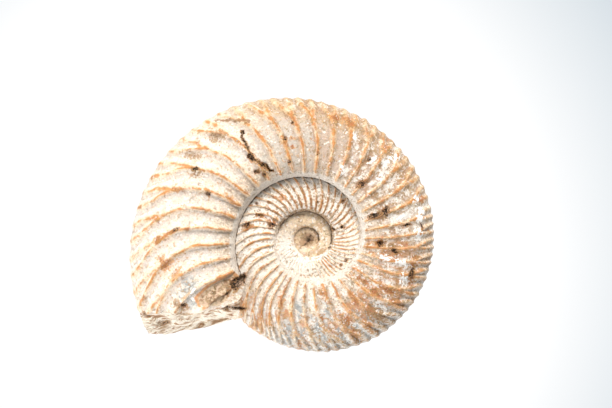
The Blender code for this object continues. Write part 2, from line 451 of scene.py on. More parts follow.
def add_grid(bm, columns, rows, points, coil):
    """A grid of faces with its vertices at points[column, row]. coil is the rib count, s and seam mark."""
    made = bmesh.ops.create_grid(bm, x_segments=columns, y_segments=rows, size=1.0, calc_uvs=False)
    count_and_s, seam = bm.loops.layers.uv["coil"], bm.verts.layers.float["contact"]
    faces = set()
    places = {}
    for vert in made["verts"]:
        place = round((vert.co.x + 1.0) * 0.5 * columns), round((vert.co.y + 1.0) * 0.5 * rows)
        places[vert] = place
        vert.co = points[place]
        vert[seam] = coil[place][2]
        faces.update(vert.link_faces)
    for face in faces:
        for loop in face.loops:
            loop[count_and_s].uv = coil[places[loop.vert]][:2]
    return faces


def add_band(bm, side, first, last, rows, steps, to_foot=False):
    """Columns first to last of one flank. steps: column steps at the inner edge, between and outside."""
    edge_in, inside, edge_out = steps
    columns = np.arange(first, last + inside, inside)
    row = np.arange(rows[0], rows[1] + 1)
    column_grid = np.repeat(columns[:, None].astype(float), len(row), axis=1)
    column_grid[:, 0] = columns // edge_in * edge_in
    column_grid[:, -1] = columns // edge_out * edge_out
    points, coil = strip_points(column_grid, row[None, :], side, to_foot)
    add_grid(bm, len(columns) - 1, len(row) - 1, points, coil)


bm = bmesh.new()
bm.loops.layers.uv.new("coil")
bm.verts.layers.float.new("contact")
broken_mark = bm.faces.layers.float.new("break")
turn_two = 2 * COLUMNS
end_column = last_column // COARSEST * COARSEST
top, under = INNER_ROWS[1], INNER_ROWS[-1]
add_band(bm, 1, 0, COLUMNS, (0, top), (1, 1, 1))
add_band(bm, 1, COLUMNS, turn_two, (0, top), (2, 1, 1))
add_band(bm, 1, turn_two, end_column, (0, top), (COARSEST, 2, 2))
add_band(bm, -1, 0, end_column, (0, under), (COARSEST, COARSEST, COARSEST))
rim_end = COLUMNS + SEAM_COLUMN[1]
add_band(bm, 1, 0, rim_end, (top, top + OUTER_ROWS[1]), (1, 1, 2), to_foot=True)
add_band(bm, -1, 0, rim_end, (under, under + OUTER_ROWS[-1]), (COARSEST, 2, 2), to_foot=True)
print("vertices before the mouth:", len(bm.verts))

# %% [markdown]
# ## Closing the skin
# The broken face spans from the edge of the mouth to its foot, in rings. Each end of the strip leaves a
# small hole at the centre of the coil. It is filled and dimpled, where the first tiny chamber of the
# animal sat.

# %% Mouth face and centre
CENTRE_DIMPLE = 0.5 * MM
CENTRE_COIL = (190.0, 0.3)


def face_rows(side, step):
    row = np.arange(0, INNER_ROWS[side] + OUTER_ROWS[side] + 1, step)
    edge_column = np.zeros(len(row))
    edge, coil = strip_points(edge_column, row, side)
    foot_row = np.maximum(row, INNER_ROWS[side])
    foot, _ = strip_points(np.full(len(row), float(rim_end)), foot_row, side, to_foot=True)
    return edge, foot, coil


upper, lower = face_rows(1, 1), face_rows(-1, 1)
edge, foot, coil = (np.concatenate((up, down[-2::-1])) for up, down in zip(upper, lower))
part = np.linspace(0.0, 1.0, MOUTH_RINGS + 1)[None, :, None]
bearing = math.radians(MOUTH_BEARING)
inward = np.array((math.sin(bearing), -math.cos(bearing), 0.0))
span = np.linalg.norm(edge - foot, axis=1)[:, None, None]
depth = MOUTH_HOLLOW * 4.0 * part * (1.0 - part) * np.minimum(1.0, span / MOUTH_SPAN)
face_points = edge[:, None] * (1.0 - part) + foot[:, None] * part + inward * depth
face_coil = np.repeat(coil[:, None], MOUTH_RINGS + 1, axis=1)
face_coil[..., 0] = part[..., 0]
for face in add_grid(bm, len(edge) - 1, MOUTH_RINGS, face_points, face_coil):
    face[broken_mark] = 1.0
bmesh.ops.remove_doubles(bm, verts=bm.verts, dist=WELD)

rims = [edge for edge in bm.edges if edge.is_boundary]
for hole in bmesh.ops.holes_fill(bm, edges=rims, sides=0)["faces"]:
    height = hole.calc_center_median().z
    poked = bmesh.ops.poke(bm, faces=[hole])
    poked["verts"][0].co = (0.0, 0.0, height - math.copysign(CENTRE_DIMPLE, height))
    for loop in (loop for face in poked["faces"] for loop in face.loops):
        loop[bm.loops.layers.uv["coil"]].uv = CENTRE_COIL
bmesh.ops.recalc_face_normals(bm, faces=bm.faces)
open_edges = sum(not edge.is_manifold for edge in bm.edges)
print("faces:", len(bm.faces), "open edges:", open_edges)

# %% [markdown]
# ## Laying it down
# One side of a coil is always thinner, so on a table it dips a few degrees towards that side. The whole
# skin is leaned by that much and carried to the pole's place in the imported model. From here on, places
# are given as x and y in millimetres from the pole, seen from above.

# %% Lay down
LEAN = 3.5
LEAN_BEARING = 28.0

bearing = math.radians(LEAN_BEARING)
hinge = Vector((-math.sin(bearing), math.cos(bearing), 0.0))
lay = Matrix.Translation(POLE) @ Matrix.Rotation(math.radians(LEAN), 4, hinge)
bmesh.ops.transform(bm, matrix=lay, verts=bm.verts)
print("lowest point, mm:", round(min(vert.co.z for vert in bm.verts) / MM, 2))

# %% [markdown]
# ## Damage
# Dissolved pits, a jagged crack, and a window near the mouth where the shell has flaked off the brown
# infill. These are the marks that make this fossil one of a kind, so each has its own place. A pit is an
# oval: x, y, half length, half width, turn in degrees, and depth in millimetres.

# %% Places of the damage
PITS = (
    (-27.4, 17.5, 0.8, 0.5, 0, 0.3),
    (-24.2, 11.4, 0.5, 0.5, 0, 0.3),
    (-5.5, 25.0, 0.35, 0.45, 0, 0.5),
    (-3.9, 28.9, 0.35, 0.3, 40, 0.3),
    (-4.6, 19.2, 0.3, 0.4, 0, 0.4),
    (2.4, 21.3, 0.4, 0.4, 0, 0.2),
    (13.1, 13.9, 1.2, 0.7, 25, 0.6),
    (19.0, 7.0, 1.0, 0.7, 60, 0.5),
    (16.3, 6.1, 1.3, 0.6, 10, 0.4),
    (14.9, 19.9, 0.4, 0.4, 0, 0.3),
    (24.4, 3.9, 0.7, 0.4, 20, 0.3),
    (28.0, 3.4, 0.3, 0.8, 20, 0.3),
    (17.7, -0.6, 0.8, 0.7, 0, 0.6),
    (21.2, -2.5, 0.9, 0.5, -40, 0.3),
    (25.6, -8.1, 0.5, 1.2, -10, 0.5),
    (-12.4, 16.8, 0.6, 0.5, 0, 0.4),
    (-10.7, 16.1, 0.6, 0.4, -20, 0.4),
    (-10.5, 18.2, 1.7, 0.4, -36, 0.3),
    (-17.4, -10.3, 1.7, 1.1, 45, 1.0),
    (-19.2, -12.2, 0.8, 0.6, 40, 0.7),
    (-15.9, -8.9, 0.8, 0.6, 60, 0.7),
    (-30.0, -15.5, 0.7, 0.5, 0, 0.4),
    (-20.7, -16.5, 1.6, 0.35, 0, 0.5),
    (-17.2, -16.6, 1.6, 0.35, -5, 0.5),
    (-32.3, 2.6, 0.8, 0.4, 20, 0.3),
    (-12.7, 9.1, 0.35, 0.35, 0, 0.3),
    (-11.9, 6.2, 0.9, 0.5, -15, 0.1),
    (-8.9, 3.8, 0.9, 0.6, 10, 0.15),
    (-15.1, 3.8, 1.0, 0.5, 10, 0.2),
    (8.6, 9.6, 0.35, 0.35, 0, 0.1),
    (6.2, 2.8, 0.6, 0.35, -25, 0.4),
    (8.4, 3.2, 0.45, 0.4, 0, 0.4),
    (9.2, -4.9, 0.3, 0.35, 0, 0.05),
    (8.1, -6.0, 0.35, 0.3, 30, 0.05),
    (2.4, 9.4, 0.3, 0.3, 0, 0.2),
    (-35.5, -20.8, 0.9, 0.5, 10, 0.2),
    (-37.5, -21.1, 0.8, 0.5, 0, 0.2),
    (-39.8, -18.2, 0.5, 0.8, 25, 0.2),
)
CRACKS = (
    ((-16.0, 26.9), (-16.2, 25.2), (-15.1, 23.7), (-14.6, 22.1), (-13.8, 20.8), (-12.2, 19.0),
     (-10.5, 18.2), (-8.8, 17.1)),
    ((-22.9, 29.5), (-20.2, 29.8), (-16.8, 29.5), (-13.9, 29.5)),
)
ROUNDING = 1e-9
WINDOW = (
    (-27.2, -13.6),
    (-24.9, -11.1),
    (-22.1, -9.5),
    (-18.0, -7.6),
    (-16.8, -8.8),
    (-17.6, -11.5),
    (-18.7, -13.7),
    (-20.7, -15.4),
    (-24.6, -16.3),
    (-26.3, -15.6),
)


def oval(x, y, middle_x, middle_y, long, wide, turn):
    """Distance from the middle of an oval, 1 on its edge."""
    angle = math.radians(turn)
    dx, dy = x - middle_x, y - middle_y
    along = (dx * math.cos(angle) + dy * math.sin(angle)) / long
    across = (dy * math.cos(angle) - dx * math.sin(angle)) / wide
    return np.hypot(along, across)


def line_distance(x, y, line):
    """(signed distance from a bent line, distance past its ends), both in mm."""
    nearest, signed, past = np.full(x.shape, np.inf), np.zeros(x.shape), np.zeros(x.shape)
    for (x0, y0), (x1, y1) in zip(line, line[1:]):
        dx, dy = x1 - x0, y1 - y0
        length = math.hypot(dx, dy)
        along = ((x - x0) * dx + (y - y0) * dy) / length
        held = np.clip(along, 0.0, length)
        off_x, off_y = x - x0 - held * dx / length, y - y0 - held * dy / length
        distance = np.hypot(off_x, off_y)
        closer = distance < nearest
        nearest = np.where(closer, distance, nearest)
        signed = np.where(closer, np.sign(dx * off_y - dy * off_x) * distance, signed)
        past = np.where(closer, np.abs(along - held), past)
    ends = (x - line[0][0]) ** 2 + (y - line[0][1]) ** 2, (x - line[-1][0]) ** 2 + (y - line[-1][1]) ** 2
    at_end = np.minimum(*ends) <= nearest**2 + ROUNDING
    return signed, np.where(at_end, past, 0.0)


def seen_from_above(points):
    """x and y in mm from the pole, and how far above the middle of the coil."""
    rel = (points - np.array(POLE)) / MM
    return rel[:, 0], rel[:, 1], rel[:, 2]


print("pits:", len(PITS), "cracks:", len(CRACKS))

# %% [markdown]
# ## More vertices where they are needed
# A pit half a millimetre wide would fall between the vertices, so the faces under the damage are cut
# once more.

# %% Refine
PIT_REACH = 1.9
CRACK_REACH = 1.0

places = np.array([vert.co for vert in bm.verts])
x, y, above = seen_from_above(places)
needed = np.zeros(len(places), bool)
for pit in PITS:
    needed |= oval(x, y, *pit[:5]) < PIT_REACH
for line in CRACKS:
    signed, past = line_distance(x, y, line)
    needed |= np.hypot(signed, past) < CRACK_REACH
needed &= above > 0.0
bm.verts.ensure_lookup_table()
edges = [edge for edge in bm.edges if needed[edge.verts[0].index] and needed[edge.verts[1].index]]
bmesh.ops.subdivide_edges(bm, edges=edges, cuts=1, use_grid_fill=True)
print("edges cut:", len(edges), "vertices now:", len(bm.verts))

# %% [markdown]
# ## From bmesh to mesh
# The cutting is done, so the shape becomes a mesh, whose vertices are read and moved as one array.
# Moving them one by one in bmesh would do as well, only more slowly. Each vertex learns where it lies:
# its x and y, its distance and bearing from the pole, and whether it is on the upper side, which alone
# gets the marks and spots.

# %% Mesh
UPPER_SIDE = (-4.5, -1.5)

mesh = bpy.data.meshes.new("ammonite_fossil")
bm.to_mesh(mesh)
bm.free()
fossil = bpy.data.objects.new("ammonite_fossil", mesh)
bpy.context.scene.collection.objects.link(fossil)


def read(values, name, width):
    """One property of many mesh elements as an array with that many columns."""
    flat = np.empty(len(values) * width, np.float32)
    values.foreach_get(name, flat)
    return flat.reshape(-1, width).astype(float)


places, normals = read(mesh.vertices, "co", 3), read(mesh.vertices, "normal", 3)
x, y, above = seen_from_above(places)
radius, angle = np.hypot(x, y), np.degrees(np.arctan2(y, x))
on_top = ramp(*UPPER_SIDE, above)
print("vertices:", len(places))
print("triangles:", sum(len(face.vertices) - 2 for face in mesh.polygons))

# %% [markdown]
# ## Spots
# Rust, dirt, grey clay and chalky crust lie on the stone in spots. Each spot is an oval, given as x, y,
# half length, half width and turn. Noise could scatter them, but placed one by one they make this one
# fossil.

# %% Spots
RUST = (
    (10.1, 29.4, 1.8, 1.0, -20),
    (6.6, 30.2, 1.2, 0.9, 0),
    (19.3, 23.0, 1.0, 0.9, 0),
    (-5.6, 23.9, 0.6, 1.1, 20),
    (-4.0, 25.1, 0.5, 0.4, 0),
    (-3.8, 22.9, 0.4, 0.4, 0),
    (-32.4, 12.6, 1.4, 0.6, 5),
    (-18.9, 10.2, 1.7, 0.6, -38),
    (-36.3, 0.4, 1.4, 0.8, 25),
    (-33.7, 1.9, 1.8, 0.5, 20),
    (-35.4, -4.7, 1.1, 0.9, 0),
    (-34.0, -5.8, 2.2, 0.9, 45),
    (-32.0, -7.8, 1.4, 0.9, 30),
    (9.3, -19.5, 1.6, 2.2, 20),
    (11.8, -23.5, 1.2, 2.0, 30),
    (15.5, -17.0, 2.4, 1.2, -40),
    (20.2, -12.3, 3.0, 1.1, -32),
    (17.0, -12.9, 2.2, 1.0, -38),
    (14.8, -21.2, 1.8, 1.0, -45),
    (11.2, -14.2, 2.0, 0.8, -55),
    (21.5, -15.2, 2.2, 1.2, -38),
    (25.6, -6.0, 1.2, 0.8, 10),
    (13.2, -9.6, 2.4, 0.8, -35),
    (25.4, -10.3, 0.8, 0.6, 0),
    (26.3, -4.2, 1.2, 0.7, 0),
    (15.1, -1.1, 0.8, 0.8, 0),
    (15.8, -2.9, 0.8, 0.6, 0),
    (17.6, -0.7, 1.3, 1.1, 0),
    (27.7, 10.0, 0.7, 0.9, 0),
    (3.6, -12.7, 0.9, 1.5, 20),
    (-6.6, -14.9, 0.8, 2.0, 5),
    (8.8, 9.7, 0.7, 0.6, 0),
    (-11.4, 6.2, 1.3, 0.6, -15),
    (-6.3, 10.7, 0.6, 1.0, 20),
    (-8.8, 4.6, 1.2, 0.9, 20),
    (-14.7, 3.6, 1.2, 0.7, 10),
)
DIRT = (
    (-22.3, 25.6, 2.0, 1.4, 0),
    (-28.2, 20.8, 2.0, 0.9, -10),
    (-27.3, 16.4, 1.3, 0.8, -10),
    (-31.2, -15.5, 2.0, 1.0, -25),
    (-37.2, -20.6, 2.4, 1.0, -10),
    (-30.0, -17.9, 2.6, 0.6, -5),
    (-17.5, -10.6, 1.6, 1.0, 40),
    (-10.6, 16.8, 1.6, 0.8, -15),
    (20.6, -1.5, 1.6, 1.0, -30),
    (25.4, -8.0, 0.9, 1.8, -10),
    (17.8, -18.6, 3.0, 1.5, -35),
    (18.0, 6.4, 2.2, 0.8, 15),
)
CLAY = (
    (2.4, -21.0, 1.0, 2.4, 10),
    (8.4, -23.2, 2.2, 1.0, -50),
    (-1.8, -16.6, 1.0, 1.6, 10),
    (5.0, -17.5, 0.9, 2.2, 20),
    (-4.6, -21.5, 1.0, 2.0, 10),
    (-28.6, -11.4, 3.2, 1.6, 45),
    (-27.5, -15.2, 1.4, 1.0, 0),
)
CRUST = (
    (21.5, 20.3, 1.5, 0.7, 20),
    (19.3, 19.3, 1.3, 0.8, 40),
    (15.6, 20.0, 1.3, 0.7, 30),
    (11.4, 25.7, 0.5, 1.0, 0),
    (8.5, 17.3, 0.6, 1.0, 0),
    (17.4, 15.3, 1.0, 0.6, 30),
    (26.6, 10.0, 0.8, 1.4, 0),
    (27.6, 6.2, 1.1, 2.2, 5),
    (27.2, 2.0, 1.0, 1.8, 0),
    (22.8, 5.6, 1.4, 0.6, 20),
    (18.8, -4.2, 1.5, 0.8, -20),
    (22.8, -5.4, 1.6, 0.9, -20),
    (23.6, -9.6, 1.0, 1.2, 0),
    (-27.8, -12.6, 0.5, 1.9, -20),
)


def patches(spots):
    """1 at the middle of the nearest spot, 0.5 on its edge and 0 at twice its size."""
    return np.max([np.clip(1.0 - 0.5 * oval(x, y, *spot), 0.0, 1.0) for spot in spots], axis=0)


print("spots of rust, dirt, clay, crust:", *map(len, (RUST, DIRT, CLAY, CRUST)))

# %% [markdown]
# ## Sectors
# The stone isn't the same all round. Seen from the pole, it is paler on the left, where the glare of the
# glowing table is painted into the colour as near-white, stained by iron and clay on the lower side, and
# crusted on the right. A sector with soft edges is enough for each, since the spots and the noise break up
# its outline.

# %% Sectors
SECTORS = {
    # name: bearing, half width and soft edge, in degrees
    "left": (170.0, 35.0, 35.0),
    "right": (15.0, 45.0, 25.0),
    "low": (-85.0, 45.0, 25.0),
    "lower_right": (-45.0, 35.0, 25.0),
    "lilac": (70.0, 28.0, 25.0),
    "grey_top": (103.0, 14.0, 16.0),
    "grey_low": (-112.0, 10.0, 14.0),
    "clay": (-74.0, 26.0, 22.0),
    "pale_rim": (-22.0, 32.0, 25.0),
    "bleached": (-110.0, 55.0, 35.0),
}


def towards(bearing, half, soft):
    """1 within the half width of a bearing, fading to 0 over the soft edge."""
    off = np.abs((angle - bearing + 180.0) % 360.0 - 180.0)
    return 1.0 - ramp(half, half + soft, off)


sector = {name: towards(*span) for name, span in SECTORS.items()}
left, right, low, lower_right = (sector[name] for name in ("left", "right", "low", "lower_right"))
print("mean weight of each:", {name: round(float(weight.mean()), 2) for name, weight in sector.items()})

# %% [markdown]
# ## Regions
# A region joins sectors, spots and a range of distances from the pole, in millimetres, into one weight
# from 0 to 1 at every vertex. Shape and finish read the same weights, so they agree. Painting the
# weights by hand would be freer, but nobody could change them later by changing a number.

# %% Regions
LAST_WHORL = (15.5, 19.0)
LEFT_FROM = (17.0, 26.0)
RUST_FROM = (14.0, 18.0)
DIRT_FROM = (17.0, 23.0)
CLAY_FROM = (17.0, 25.0)
BLEACHED_UP_TO = (14.0, 20.0)
RIM_BAND = (0.74, 0.95)
RUST_GROUND = 0.22
DIRT_GROUND = 0.24
CLAY_GROUND = 0.60
LOW_RIM_LOSS = 0.7
RIGHT_DIRT = 0.7
RIGHT_STAIN = 0.6

last_whorl = ramp(*LAST_WHORL, radius)
rim = ramp(*RIM_BAND, radius / (venter_radius(MOUTH_BEARING - angle) / MM))
rusty = RUST_GROUND * lower_right * ramp(*RUST_FROM, radius)
dirty = DIRT_GROUND * np.maximum(lower_right, RIGHT_DIRT * right) * ramp(*DIRT_FROM, radius)
clayey = CLAY_GROUND * sector["clay"] * ramp(*CLAY_FROM, radius)
regions = {
    # left: carries the near-white painted glare of the left side
    "left": left * ramp(*LEFT_FROM, radius),
    "lilac": sector["lilac"] * last_whorl,
    "greyed": np.maximum(sector["grey_top"], sector["grey_low"]) * last_whorl,
    "crust": patches(CRUST),
    "rust": np.maximum(patches(RUST), rusty),
    "dirt": np.maximum(patches(DIRT), dirty),
    "clay": np.maximum(patches(CLAY), clayey),
    # rim: darker at the rim except on the left, partly painted shade and partly brown mottling
    "rim": rim * (1.0 - left) * (1.0 - LOW_RIM_LOSS * low),
    "pale_rim": rim * sector["pale_rim"],
    "bleached": sector["bleached"] * (1.0 - ramp(*BLEACHED_UP_TO, radius)),
    "stained": last_whorl * np.maximum(low, np.maximum(lower_right, RIGHT_STAIN * right)),
}
regions = {name: on_top * weight for name, weight in regions.items()}
print({name: round(float(weight.mean()), 3) for name, weight in regions.items()})

# %% [markdown]
# ## Unevenness of the stone
# A fossil is rough at several sizes at once. Three noises give its grain, its lumps and a ragged mix of
# both, which frays edges. Each is given as its size in millimetres, its octaves and a seed. What was
# stored at the face corners is read back too: the rib count, s and which faces are the break.

# %% Unevenness
STONE_NOISES = ((0.9, 3, 1.0), (4.0, 3, 2.0), (2.2, 4, 3.0))


def stone(size, octaves, seed):
    """Fractal noise at every vertex, about -1 to 1, with its largest lumps of a size in mm."""
    shift = Vector((seed, -seed, 2.0 * seed))
    scale = 1.0 / (size * MM)
    return np.array([noise.fractal(Vector(place) * scale + shift, 1.0, 2.0, octaves) for place in places])


grain, lumps, rough = (stone(*row) for row in STONE_NOISES)
corner_vertex = read(mesh.loops, "vertex_index", 1).astype(int)[:, 0]
count, s = read(mesh.uv_layers["coil"].data, "uv", 2).T
contact = read(mesh.attributes["contact"].data, "value", 1)[:, 0]
broken_face = read(mesh.attributes["break"].data, "value", 1)[:, 0]
broken_corner = np.repeat(broken_face, read(mesh.polygons, "loop_total", 1).astype(int)[:, 0])
broken, across = np.zeros(len(places)), np.zeros(len(places))
broken[corner_vertex[broken_corner > 0.5]] = 1.0
across[corner_vertex] = np.where(broken_corner > 0.5, count, 0.0)
print("vertices on the break:", int(broken.sum()))

# %% [markdown]
# ## How far the damage reaches
# The noises fray the ovals of the pits and bend the lines of the cracks, because acid and frost draw no
# clean curves. Each mark becomes a distance or a weight at every vertex of the upper side.

# %% Pits, cracks and window
PIT_FRAY = (0.5, 0.3)
PIT_SLOPE = (0.4, 1.3)
PIT_DARKNESS = 0.65
PIT_SHADOW = (1.5, 0.75)
CRACK_BEND = (0.6, 0.5)
CRACK_JAGS = (0.35, -0.3)
OUTSIDE = -9.0

pits, pit_depth = np.zeros(len(places)), np.zeros(len(places))
for *place, depth in PITS:
    distance = oval(x, y, *place) + PIT_FRAY[0] * grain + PIT_FRAY[1] * rough
    # a pit's dark is painted shadow, darker for a deeper pit and spreading past its edge
    darkness = min(1.0, PIT_DARKNESS + depth)
    shadow = np.clip(PIT_SHADOW[0] - PIT_SHADOW[1] * distance, 0.0, 1.0)
    pits = np.maximum(pits, on_top * darkness * shadow)
    pit_depth += on_top * depth * (1.0 - ramp(*PIT_SLOPE, distance))
jagged_x = x + CRACK_BEND[0] * rough + CRACK_JAGS[0] * grain
jagged_y = y + CRACK_BEND[1] * rough + CRACK_JAGS[1] * grain
cracks = [line_distance(jagged_x, jagged_y, line) for line in CRACKS]
crack, stain = (np.abs(signed) + past for signed, past in cracks)
outline_distance, _ = line_distance(x, y, (*WINDOW, WINDOW[0]))
window = np.where(on_top > 0.5, -outline_distance, OUTSIDE)
print("deepest pit, mm:", round(float(pit_depth.max()), 2))

# %% [markdown]
# ## Weathering the surface
# Every vertex moves a little along its normal, by an offset in millimetres: out for the grain, the
# crust's lumps and the mud in the lower part of the seam, in for the pits, the crack and the flaked
# window, and to and fro for the ledges of the break. Sculpting would be as good, but offsets can be
# retuned at any time. The crests that the fossil rests on are worn flat, so nothing goes below the
# table.

# %% Weathering
GRAIN = 0.05
LUMPS = 0.11
LEFT_SMOOTHING = 0.5
CRUST_LUMPS = 0.25
CRUST_GAPS = (-0.1, 0.4)
BREAK_ROUGHNESS = 0.28
LEDGE = 0.30
LEDGES = 3.5
LEDGE_BEND = 3.0
CRACK_WIDTH = 0.38
CRACK_SLOPE = (0.3, 1.0)
CRACK_DEPTH = 0.6
WINDOW_DEPTH = 0.55
WINDOW_EDGE = 0.5
WINDOW_ROUGHNESS = 0.22
SEAM_FILL = 0.30
SEAM_FILL_SECTOR = (-95.0, 45.0, 35.0)

offset = GRAIN * grain + LUMPS * lumps * (1.0 - LEFT_SMOOTHING * regions["left"])
offset += CRUST_LUMPS * regions["crust"] * ramp(*CRUST_GAPS, rough)
ledge_wave = np.sin(2.0 * math.pi * LEDGES * across + LEDGE_BEND * lumps)
offset += broken * (BREAK_ROUGHNESS * rough + LEDGE * ledge_wave)
offset -= pit_depth + on_top * CRACK_DEPTH * (1.0 - ramp(*CRACK_SLOPE, crack / CRACK_WIDTH))
flaked = ramp(0.0, WINDOW_EDGE, window) * (1.0 - broken)
offset -= (WINDOW_DEPTH - WINDOW_ROUGHNESS * rough) * flaked
offset += SEAM_FILL * on_top * contact * towards(*SEAM_FILL_SECTOR)

places += normals * (offset * MM)[:, None]
places[:, 2] = np.maximum(0.0, places[:, 2])
mesh.vertices.foreach_set("co", places.astype(np.float32).ravel())
mesh.update()
print("offsets, mm:", round(offset.min(), 2), "to", round(offset.max(), 2))

# %% [markdown]
# ## Lines along the ribs
# The colours follow the form. So every face corner learns which whorl and which rib it lies on, and how
# far in front of or behind the rib's crest, as a part of the spacing. The lines wander a little, and
# clusters of grit lie over them, so no rib is coloured evenly. Working this out in the material would be
# sharper still, but would need many more nodes.

# %% Lines along the ribs
SECOND_WHORL = (36.0, 38.5)
THIRD_WHORL = (90.0, 106.0)
FIRST_CHAMBERS = (138.0, 150.0)
WANDER = (0.06, 0.03)
CLUSTERED = (-0.25, 0.45)


def bump_at(value, middle, width):
    """1 where the value is at the middle, falling off like a bell."""
    return np.exp(-(((value - middle) / width) ** 2))


def less(share, weight):
    """1 where the weight is 0, and less by the share where it is 1."""
    return 1.0 - share * weight


seen = {name: weight[corner_vertex] for name, weight in regions.items()}
at_left = seen["left"]
whole = 1.0 - broken_corner
second, third = ramp(*SECOND_WHORL, count), ramp(*THIRD_WHORL, count)
chambers = ramp(*FIRST_CHAMBERS, count)
second_only = whole * second * (1.0 - third)
third_only = whole * third * (1.0 - chambers)
spread = FORK_SPREAD * ramp(*RIB_FORK, s)
wander = (WANDER[0] * lumps + WANDER[1] * rough)[corner_vertex]
branches = [(count + wander - branch + 0.5) % 1.0 - 0.5 for branch in (-spread, spread)]
off = np.where(np.abs(branches[0]) < np.abs(branches[1]), *branches)
clusters = ramp(*CLUSTERED, rough)[corner_vertex]
print("mean distance from a crest, in ribs:", round(float(np.abs(off).mean()), 2))

# %% [markdown]
# ## Fields of the form
# These weights say where the crest of each rib lies, its edge and the shade in front of it, the
# umbilical wall, the whorls inside and the ledges of the break. The colour of the crests is weaker at
# the rim, on the worn ribs near the centre, under clusters of grit and under clay.

# %% Fields of the form
RIBS_FROM = (0.10, 0.18)
RIM_FROM = (0.60, 0.85)
SHOULDER_UP_TO = (0.30, 0.46)
WALL_UP_TO = (0.115, 0.17)
WORN_RIBS = (70.0, 82.0)
CORE_TINT_AND_SHADE = (2.6, 0.2)
CREST_AT, CREST_WIDTH = 0.02, 0.15
EDGE_AT, EDGE_WIDTH = 0.15, 0.05
SHADE_AT, SHADE_WIDTH = -0.24, 0.11
LEFT_SHADE_AT, LEFT_SHADE_WIDTH = -0.30, 0.20
LEDGE_AT, LEDGE_WIDTH = 0.75, 0.16
LEDGE_WANDER = 0.48
RIM_LOSS = 0.45
LEFT_RIM_GAIN = 0.30
WORN_LOSS = 0.7
GRIT_LOSS = 0.20
SECOND_GRIT_LOSS = 0.30
CLAY_LOSS = 0.45
CLAY_COVER = 2.0
SHOULDER_WIDENING = 0.5
LEFT_NARROWING = 0.30
LEFT_EDGE_LOSS = 0.6
SHADE_LOSS = 0.5

ribbed = whole * ramp(*RIBS_FROM, s) * (1.0 - third)
at_rim = ramp(*RIM_FROM, s) * (1.0 - second)
under_clay = np.clip(CLAY_COVER * seen["clay"], 0.0, 1.0)
strong = less(RIM_LOSS - LEFT_RIM_GAIN * at_left, at_rim) * less(WORN_LOSS, ramp(*WORN_RIBS, count))
strong *= less(GRIT_LOSS + SECOND_GRIT_LOSS * second, clusters) * less(CLAY_LOSS, under_clay)
inner_shoulder = second * (1.0 - ramp(*SHOULDER_UP_TO, s))
width = CREST_WIDTH * (1.0 + SHOULDER_WIDENING * inner_shoulder) * less(LEFT_NARROWING, at_left)
edge_line = bump_at(np.abs(off - CREST_AT), EDGE_AT, EDGE_WIDTH)
shade_line = bump_at(off, SHADE_AT, SHADE_WIDTH)
left_shade_line = bump_at(off, LEFT_SHADE_AT, LEFT_SHADE_WIDTH)
wall = whole * (1.0 - ramp(*WALL_UP_TO, s))
ledge_phase = (LEDGES * count + LEDGE_WANDER * lumps[corner_vertex]) % 1.0
fields = {
    "crest": ribbed * strong * bump_at(off, CREST_AT, width),
    "crest_edge": ribbed * strong * edge_line * less(LEFT_EDGE_LOSS, at_left),
    "shade": ribbed * shade_line * less(SHADE_LOSS, second) * less(SHADE_LOSS, at_left),
    "left_shade": ribbed * left_shade_line * (1.0 - second) * at_left,
    "wall": wall * (1.0 - second),
    "second": second_only,
    "third": third_only,
    "chambers": whole * chambers,
    # the centre: the tan of the nucleus, and painted shade in its deep middle
    "core_tint_and_shade": whole * ramp(*CORE_TINT_AND_SHADE, radius[corner_vertex]),
    "broken": broken_corner,
    "ledge": broken_corner * bump_at(ledge_phase, LEDGE_AT, LEDGE_WIDTH),
    **seen,
    "stained": whole * seen["stained"],
}
print("fields of the form and the regions:", len(fields))

# %% [markdown]
# ## Dirt and painted shadow in the seams, and marks
# A little dirt lies in every seam and on the umbilical wall. On the side away from the lamp, the dark
# seam line and the tan band on the inner wall are painted shadow, so they are much stronger there. The
# seams near the centre are filled further up. The pits, the cracks and the window bring their own
# distances along.

# %% Fields of dirt, painted shadow and marks
INNER_SEAM_WITHIN = 11.0
FULL_SEAM_WITHIN = 8.0
INNER_SHADED_SIDE = (70.0, 70.0, 40.0)
OUTER_SHADED_SIDE = (140.0, 70.0, 35.0)
SEAM_REACH, INNER_SEAM_REACH = 0.07, 0.08
SEAM_DIRT, SEAM_SHADOW = 0.15, 0.85
WALL_DIRT, WALL_SHADOW = 0.3, 0.7
CLEAN_CENTRE = (2.0, 3.0)
UPPER_LIP_SLOPE, UPPER_LIP_HEIGHT = 0.85, 4.5
WINDOW_LIP_AT, WINDOW_LIP_WIDTH = 0.1, 0.35

inside = radius < INNER_SEAM_WITHIN
# the side of each seam away from the lamp, where shadow is painted
shaded_side = np.where(inside, towards(*INNER_SHADED_SIDE), towards(*OUTER_SHADED_SIDE))
filled = ramp(INNER_SEAM_WITHIN, FULL_SEAM_WITHIN, radius)[corner_vertex]
seam_reach = SEAM_REACH + INNER_SEAM_REACH * filled
seam_line = np.maximum(contact[corner_vertex], 1.0 - ramp(0.0, seam_reach, s)) * whole
seam_dirt_and_shadow = on_top * (SEAM_DIRT + SEAM_SHADOW * shaded_side) * ramp(*CLEAN_CENTRE, radius)
wall_dirt_and_shadow = (WALL_DIRT + WALL_SHADOW * shaded_side)[corner_vertex]
fields["seam"] = seam_line * seam_dirt_and_shadow[corner_vertex]
fields["inner_wall"] = wall * second * (1.0 - third) * wall_dirt_and_shadow

marks = {"pit": pits, "window": np.minimum(window, 1.0)}
for name, distance in (("crack", crack), ("stain", stain)):
    marks[name] = np.where(on_top > 0.5, 1.0 - distance, -1.0)
fields.update({name: values[corner_vertex] for name, values in marks.items()})
upper_lip = (y - UPPER_LIP_SLOPE * x > UPPER_LIP_HEIGHT)[corner_vertex]
fields["window_edge"] = bump_at(fields["window"], WINDOW_LIP_AT, WINDOW_LIP_WIDTH) * upper_lip
print("fields with dirt and marks:", len(fields))

